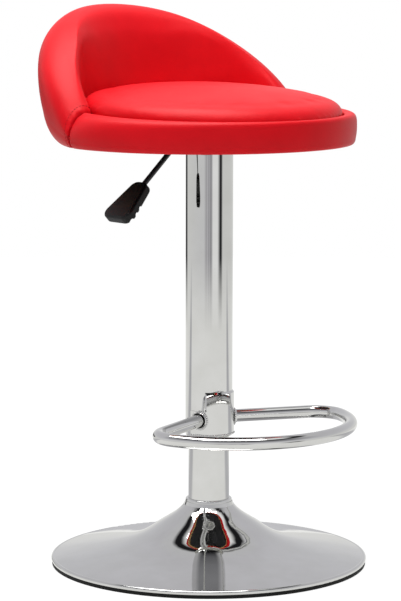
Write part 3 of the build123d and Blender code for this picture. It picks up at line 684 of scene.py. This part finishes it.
def gather(piece):
    """Draws a cover in along its seams: a groove, and puckers that fade out away from it."""
    for vertex in piece.data.vertices:
        point = vertex.co / MM
        away = seam_distance(point)
        if away > 6 * PUCKER_REACH:
            continue
        radius = hypot(point.x, point.y - SEAT_CENTRE_Y)
        wave = noise.noise(Vector((radius, point.z, point.x * 0.02)) / PUCKER_PITCH)
        drawn = SEAM_DEPTH * exp(-(away / SEAM_REACH) ** 2)
        drawn += PUCKER_DEPTH * (0.5 + wave) * exp(-away / PUCKER_REACH)
        vertex.co -= vertex.normal * (drawn * MM)


gather(back)
gather(band)


def make_bead_tree():
    """Lays beads along a row, a pitch apart: stitches of thread, or the ripples of a weld."""
    tree = bpy.data.node_groups.new("bead_row", "GeometryNodeTree")
    for name, kind, side in (
        ("Row", "NodeSocketGeometry", "INPUT"),
        ("Pitch", "NodeSocketFloat", "INPUT"),
        ("Length", "NodeSocketFloat", "INPUT"),
        ("Radius", "NodeSocketFloat", "INPUT"),
        ("Finish", "NodeSocketMaterial", "INPUT"),
        ("Beads", "NodeSocketGeometry", "OUTPUT"),
    ):
        tree.interface.new_socket(name=name, in_out=side, socket_type=kind)
    given = add_node(tree, "NodeGroupInput").outputs
    row = add_node(tree, "GeometryNodeMeshToCurve", links={"Mesh": given["Row"]}).outputs["Curve"]
    points = add_node(
        tree, "GeometryNodeCurveToPoints", {"mode": "LENGTH"}, {"Curve": row, "Length": given["Pitch"]}
    ).outputs
    aim = add_node(
        tree, "FunctionNodeAlignRotationToVector", {"axis": "Z"}, {"Vector": points["Tangent"]}
    ).outputs["Rotation"]
    half = add_node(
        tree, "ShaderNodeMath", {"operation": "MULTIPLY", 1: 0.5}, {0: given["Length"]}
    ).outputs["Value"]
    size = add_node(
        tree,
        "ShaderNodeCombineXYZ",
        links={"X": given["Radius"], "Y": given["Radius"], "Z": half},
    ).outputs["Vector"]
    ball = add_node(
        tree, "GeometryNodeMeshUVSphere", {"Segments": 8, "Rings": 6, "Radius": 1.0}
    ).outputs["Mesh"]
    bead = add_node(
        tree, "GeometryNodeTransform", links={"Geometry": ball, "Scale": size}
    ).outputs["Geometry"]
    laid = add_node(
        tree,
        "GeometryNodeInstanceOnPoints",
        links={"Points": points["Points"], "Instance": bead, "Rotation": aim},
    ).outputs["Instances"]
    whole = add_node(tree, "GeometryNodeRealizeInstances", links={"Geometry": laid}).outputs["Geometry"]
    smooth = add_node(tree, "GeometryNodeSetShadeSmooth", links={"Geometry": whole}).outputs["Geometry"]
    painted = add_node(
        tree, "GeometryNodeSetMaterial", links={"Geometry": smooth, "Material": given["Finish"]}
    ).outputs["Geometry"]
    add_node(tree, "NodeGroupOutput", links={"Beads": painted})
    return tree


bead_tree = make_bead_tree()


def bead_row(name, points, pitch, length, radius, finish):
    """A row of beads through points, in metres. The beads' sizes are in millimetres."""
    mesh = bpy.data.meshes.new(name)
    mesh.from_pydata(points, [(i, i + 1) for i in range(len(points) - 1)], [])
    row = mesh_object(name, mesh, finish)
    modifier = row.modifiers.new("beads", "NODES")
    modifier.node_group = bead_tree
    values = {"Pitch": pitch * MM, "Length": length * MM, "Radius": radius * MM, "Finish": finish}
    for socket in bead_tree.interface.items_tree:
        if socket.name in values:
            modifier[socket.identifier] = values[socket.name]
    apply_modifiers(row)
    return row


def topstitching(name, cover, side):
    """Stitches on the back, beside its seam on one side of the seat."""
    graph = bpy.context.evaluated_depsgraph_get()
    skin = BVHTree.FromObject(cover, graph)
    angle = SEAM_ANGLE - degrees(STITCH_TO_SEAM / SEAM_SECTION["bulge"][0])
    points = []
    for point in placed(side * angle, back_outline(angle))[FACE_START:FOOT_END]:
        spot, normal, _, _ = skin.find_nearest(point)
        points.append(spot + normal * (THREAD_RADIUS * 0.3 * MM))
    return bead_row(name, points, STITCH_PITCH, STITCH_LENGTH, THREAD_RADIUS, thread)


for row in (topstitching("left_topstitching", back, -1), topstitching("right_topstitching", back, 1)):
    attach(row, "seat_column")


def bracket_weld():
    """The weld along the foot of the footrest's bracket, from one side of the column to the other."""
    bracket = frame["nodes"]["footrest_bracket"]
    skin = BVHTree.FromObject(bracket, bpy.context.evaluated_depsgraph_get())
    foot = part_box("footrest_bracket")[0][2]
    points = []
    for step in range(-30, 31):
        out = Vector((sin(radians(3 * step)), -cos(radians(3 * step)), 0))
        spot = skin.ray_cast(out * 0.1 + Vector((0, 0, foot + WELD_RADIUS * MM)), -out)[0]
        if spot:
            points.append(Vector((spot.x, spot.y, foot)))
    return bead_row("bracket_weld", points, WELD_PITCH, WELD_LENGTH, WELD_RADIUS, welded_chrome)


def arm_weld(name, side):
    """The weld round the root of one arm of the footrest."""
    along = Vector((side * cos(radians(ARM_ANGLE)), -sin(radians(ARM_ANGLE)), 0))
    across = Vector((0, 0, 1)).cross(along)
    height = (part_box("footrest_loop")[0][2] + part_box("footrest_loop")[1][2]) / 2
    root = Vector((side * ARM_ROOT_SIDE, -ARM_ROOT_FORWARD, 0)) * MM + Vector((0, 0, height))
    points = []
    for step in range(41):
        turn = 2 * pi * step / 40
        ripple = 1 + 0.05 * noise.noise(Vector((cos(turn), sin(turn), side)) * 2)
        out = across * cos(turn) + Vector((0, 0, 1)) * sin(turn)
        points.append(root + out * (ARM_WELD_RADIUS * ripple * MM) + along * (WELD_RADIUS * 0.6 * MM))
    return bead_row(name, points, WELD_PITCH, WELD_LENGTH, WELD_RADIUS, welded_chrome)


for weld in (bracket_weld(), arm_weld("left_arm_weld", -1), arm_weld("right_arm_weld", 1)):
    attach(weld, "seat_column")

for piece in (back, band, pad):
    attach(piece, "seat_column")
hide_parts("back_cushion")
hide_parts("front_band")
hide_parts("seat_pad")

# Stage: a round white paper floor, white all round for the camera, and a soft studio that the metal mirrors
FLOOR_RADIUS = 3.2
FLOOR_FADE = 2.0
FLOOR_GLOW = 1.08
FILL_LIGHT = 0.2


def make_floor():
    mesh = bpy.data.meshes.new("paper_floor")
    shape = bmesh.new()
    bmesh.ops.create_circle(shape, cap_ends=True, segments=128, radius=FLOOR_RADIUS)
    shape.to_mesh(mesh)
    shape.free()
    material = bpy.data.materials.new("white_paper")
    material.use_nodes = True
    tree = material.node_tree
    tree.nodes.clear()
    paper = add_node(tree, "ShaderNodeBsdfDiffuse", {"Color": linear("f4f4f2")}).outputs["BSDF"]
    path = add_node(tree, "ShaderNodeLightPath")
    place = add_node(tree, "ShaderNodeTexCoord").outputs["Object"]
    turned = add_node(
        tree,
        "ShaderNodeVectorRotate",
        {"rotation_type": "Z_AXIS", "Angle": radians(-CAMERA_TURN)},
        {"Vector": place},
    ).outputs["Vector"]
    behind = add_node(tree, "ShaderNodeSeparateXYZ", links={"Vector": turned}).outputs["Y"]
    metres = add_node(
        tree, "ShaderNodeMapRange", {"From Min": -1.0, "From Max": 1.0}, {"Value": behind}
    ).outputs["Result"]
    mirrored = ramp(tree, metres, [(0.54, "f2f2f0"), (0.6, "bcbcc0"), (0.72, "bcbcc0"), (0.84, "f2f2f0")])
    colour = add_node(
        tree,
        "ShaderNodeMix",
        {"data_type": "RGBA", 7: (1, 1, 1, 1)},
        {0: path.outputs["Is Camera Ray"], 6: mirrored},
    ).outputs[2]
    glow = add_node(
        tree, "ShaderNodeEmission", {"Strength": FLOOR_GLOW}, {"Color": colour}
    ).outputs["Emission"]
    seen = add_node(
        tree,
        "ShaderNodeMath",
        {"operation": "MAXIMUM"},
        {0: path.outputs["Is Camera Ray"], 1: path.outputs["Is Glossy Ray"]},
    ).outputs["Value"]
    seen = add_node(
        tree, "ShaderNodeMath", {"operation": "MAXIMUM"}, {0: seen, 1: path.outputs["Is Transmission Ray"]}
    ).outputs["Value"]
    # The floor keeps the shadow near the stool and goes over into the white background further out
    distance = add_node(tree, "ShaderNodeVectorMath", {"operation": "LENGTH"}, {0: place}).outputs["Value"]
    white = add_node(
        tree,
        "ShaderNodeMapRange",
        {"From Min": 0.5, "From Max": 1.5, "To Min": 0.86, "To Max": 1.0},
        {"Value": distance},
    ).outputs["Result"]
    share = add_node(tree, "ShaderNodeMath", {"operation": "MULTIPLY"}, {0: seen, 1: white}).outputs["Value"]
    surface = add_node(
        tree, "ShaderNodeMixShader", links={"Fac": share, 1: paper, 2: glow}
    ).outputs["Shader"]
    # In the metal the floor fades out towards its edge, so that no edge line is mirrored
    edge = add_node(
        tree, "ShaderNodeMapRange", {"From Min": FLOOR_FADE, "From Max": FLOOR_RADIUS}, {"Value": distance}
    ).outputs["Result"]
    edge = add_node(
        tree, "ShaderNodeMath", {"operation": "MULTIPLY"}, {0: edge, 1: path.outputs["Is Glossy Ray"]}
    ).outputs["Value"]
    clear = add_node(tree, "ShaderNodeBsdfTransparent").outputs["BSDF"]
    surface = add_node(
        tree, "ShaderNodeMixShader", links={"Fac": edge, 1: surface, 2: clear}
    ).outputs["Shader"]
    add_node(tree, "ShaderNodeOutputMaterial", links={"Surface": surface})
    floor = mesh_object("paper_floor", mesh, material)


def make_studio():
    world = bpy.data.worlds.new("studio")
    bpy.context.scene.world = world
    world.use_nodes = True
    tree = world.node_tree
    tree.nodes.clear()
    look = add_node(tree, "ShaderNodeTexCoord").outputs["Generated"]
    turned = add_node(
        tree,
        "ShaderNodeVectorRotate",
        {"rotation_type": "Z_AXIS", "Angle": radians(-CAMERA_TURN)},
        {"Vector": look},
    ).outputs["Vector"]
    parts = add_node(tree, "ShaderNodeSeparateXYZ", links={"Vector": turned})
    # 0 and 1 are straight behind the stool, 0.5 is in front of it, and the right of the picture is above 0.5
    towards = add_node(
        tree, "ShaderNodeMath", {"operation": "MULTIPLY", 1: -1.0}, {0: parts.outputs["Y"]}
    ).outputs["Value"]
    around = add_node(
        tree, "ShaderNodeMath", {"operation": "ARCTAN2"}, {0: parts.outputs["X"], 1: towards}
    ).outputs["Value"]
    turn = add_node(
        tree, "ShaderNodeMapRange", {"From Min": -pi, "From Max": pi}, {"Value": around}
    ).outputs["Result"]
    streaks = ramp(
        tree,
        turn,
        [
            (0.0, "e6e6e4"),
            (0.04, "e8e8e6"),
            (0.065, "3a3a3c"),
            (0.12, "3a3a3c"),
            (0.14, "e8e8e6"),
            (0.43, "e2e2e4"),
            (0.46, "b8b6ba"),
            (0.478, "cfced2"),
            (0.49, "aeacb1"),
            (0.508, "c4c3c7"),
            (0.518, "98979b"),
            (0.53, "b2b1b5"),
            (0.55, "ffffff"),
            (0.612, "ffffff"),
            (0.648, "2c2c2e"),
            (0.67, "2c2c2e"),
            (0.69, "e8e8e6"),
            (1.0, "e6e6e4"),
        ],
    )
    height = add_node(
        tree, "ShaderNodeMapRange", {"From Min": -1.0, "From Max": 1.0}, {"Value": parts.outputs["Z"]}
    ).outputs["Result"]
    sky = ramp(
        tree,
        height,
        [
            (0.5, "f2f2f2"),
            (0.58, "e0e0e2"),
            (0.66, "d6d6da"),
            (0.82, "d2d1d6"),
            (0.9, "d4d4d6"),
            (0.918, "202022"),
            (0.94, "202022"),
            (0.955, "ffffff"),
        ],
    )
    near_sky = ramp(
        tree,
        height,
        [
            (0.5, "f2f2f2"),
            (0.6, "ececee"),
            (0.7, "cfcfd3"),
            (0.8, "9c9ca1"),
            (0.87, "78787d"),
            (0.918, "202022"),
            (0.94, "202022"),
            (0.955, "ffffff"),
        ],
    )
    near = add_node(
        tree, "ShaderNodeMapRange", {"From Min": 0.15, "From Max": -0.35}, {"Value": parts.outputs["Y"]}
    ).outputs["Result"]
    sky = add_node(tree, "ShaderNodeMix", {"data_type": "RGBA"}, {0: near, 6: sky, 7: near_sky}).outputs[2]
    low = add_node(
        tree, "ShaderNodeMapRange", {"From Min": 0.02, "From Max": 0.14}, {"Value": parts.outputs["Z"]}
    ).outputs["Result"]
    mirrored = add_node(tree, "ShaderNodeMix", {"data_type": "RGBA"}, {0: low, 6: streaks, 7: sky}).outputs[2]
    path = add_node(tree, "ShaderNodeLightPath")
    room = add_node(
        tree, "ShaderNodeBackground", {"Strength": 1.0}, {"Color": mirrored}
    ).outputs["Background"]
    white = add_node(
        tree, "ShaderNodeBackground", {"Strength": 1.0, "Color": (1, 1, 1, 1)}
    ).outputs["Background"]
    fill = add_node(
        tree, "ShaderNodeBackground", {"Strength": FILL_LIGHT, "Color": (1, 1, 1, 1)}
    ).outputs["Background"]
    lit = add_node(
        tree, "ShaderNodeMixShader", links={"Fac": path.outputs["Is Glossy Ray"], 1: fill, 2: room}
    ).outputs["Shader"]
    surface = add_node(
        tree, "ShaderNodeMixShader", links={"Fac": path.outputs["Is Camera Ray"], 1: lit, 2: white}
    ).outputs["Shader"]
    add_node(tree, "ShaderNodeOutputWorld", links={"Surface": surface})


def add_softbox(name, place, target, width, depth, power):
    light = bpy.data.lights.new(name, "AREA")
    light.shape = "RECTANGLE"
    light.size = width
    light.size_y = depth
    light.energy = power
    lamp = bpy.data.objects.new(name, light)
    lamp.location = place
    lamp.rotation_euler = (Vector(target) - Vector(place)).to_track_quat("-Z", "Y").to_euler()
    bpy.context.scene.collection.objects.link(lamp)
    return lamp


make_floor()
make_studio()
add_softbox("top_softbox", (-0.3, 0.1, 2.4), (0, 0, 0.6), width=1.8, depth=1.8, power=67)
front = add_softbox("front_softbox", (-1.3, -2.25, 1.6), (0, 0, 0.5), width=1.2, depth=1.6, power=16)
# The metal mirrors the studio's streaks and not this lamp
front.visible_glossy = False

camera_data = bpy.data.cameras.new("camera")
camera_data.sensor_width = SENSOR_WIDTH
camera_data.lens = FOCAL_PIXELS / FRAME_PIXELS * SENSOR_WIDTH
camera_data.shift_x = -CENTRE_SHIFT_PIXELS / FRAME_PIXELS
camera = bpy.data.objects.new("camera", camera_data)
turn = radians(CAMERA_TURN)
camera.location = (CAMERA_DISTANCE * sin(turn), -CAMERA_DISTANCE * cos(turn), CAMERA_HEIGHT)
camera.rotation_euler = (radians(90 - CAMERA_DROP), radians(CAMERA_ROLL), turn)
bpy.context.scene.collection.objects.link(camera)
bpy.context.scene.camera = camera
bpy.context.scene.view_settings.view_transform = "Standard"
